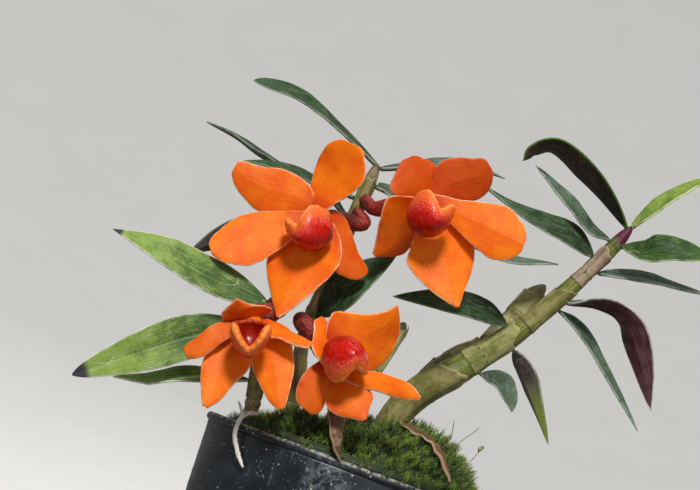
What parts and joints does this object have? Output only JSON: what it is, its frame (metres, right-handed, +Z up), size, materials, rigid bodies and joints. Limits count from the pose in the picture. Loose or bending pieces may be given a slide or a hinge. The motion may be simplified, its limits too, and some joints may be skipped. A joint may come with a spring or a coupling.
{
  "type": "potted dendrobium orchid",
  "caption": "Miniature dendrobium orchid with orange blooms and red lips on jointed canes, growing through living moss in a small round plastic nursery pot.",
  "frame": {"origin": "middle of the pot's flat foot, on the surface that the pot stands on", "axes": "+Z up along the pot's axis, -Y towards the side that the blooms face, +X towards the long leaning cane"},
  "size_m": [0.121, 0.0712, 0.14],
  "materials": {
    "pot_plastic": "dark slate-grey moulded plastic, satin, dusty with lime specks",
    "medium": "rough fine bark and peat",
    "root": "dull white spongy root skin",
    "moss": "soft living moss",
    "cane": "pale green-olive stem under thin papery sheaths",
    "old_cane": "dry grey-tan papery sheaths",
    "dried": "dry brown papery bract",
    "leaf": "velvety green above, purple to grey-green below, with a pale thin margin",
    "tepal": "glistening fine-grained orange petal, pale at the margin",
    "lip": "glossy red, pink and orange towards the rolled margin",
    "ovary": "dull dark red stalk, finely warted"
  },
  "bodies": {
    "root": {"pot": "pot_plastic", "potting_medium": "medium", "rhizome_and_roots": "root", "moss": "moss", "aerial_root": "root", "cane_main": "cane", "cane_old": "old_cane", "cane_flower": "cane", "cane_short": "old_cane", "cane_left": "cane", "dried_bract": "dried", "dried_sheath": "dried", "leaf_left_1": "leaf", "leaf_left_2": "leaf", "leaf_left_3": "leaf", "leaf_flower_1": "leaf", "leaf_flower_2": "leaf", "leaf_flower_3": "leaf", "leaf_flower_4": "leaf", "leaf_flower_5": "leaf", "leaf_flower_6": "leaf", "leaf_flower_7": "leaf", "leaf_main_1": "leaf", "leaf_main_2": "leaf", "leaf_main_3": "leaf", "leaf_main_4": "leaf", "leaf_main_5": "leaf", "leaf_main_6": "leaf", "leaf_main_7": "leaf", "leaf_main_8": "leaf", "leaf_main_9": "leaf", "leaf_main_10": "leaf", "leaf_main_11": "leaf", "bloom_1_ring": "tepal", "bloom_1_lip": "lip", "bloom_1_stalk": "ovary", "bloom_2_ring": "tepal", "bloom_2_lip": "lip", "bloom_2_stalk": "ovary", "bloom_3_ring": "tepal", "bloom_3_lip": "lip", "bloom_3_stalk": "ovary", "bloom_4_ring": "tepal", "bloom_4_lip": "lip", "bloom_4_stalk": "ovary"}
  },
  "joints": []
}
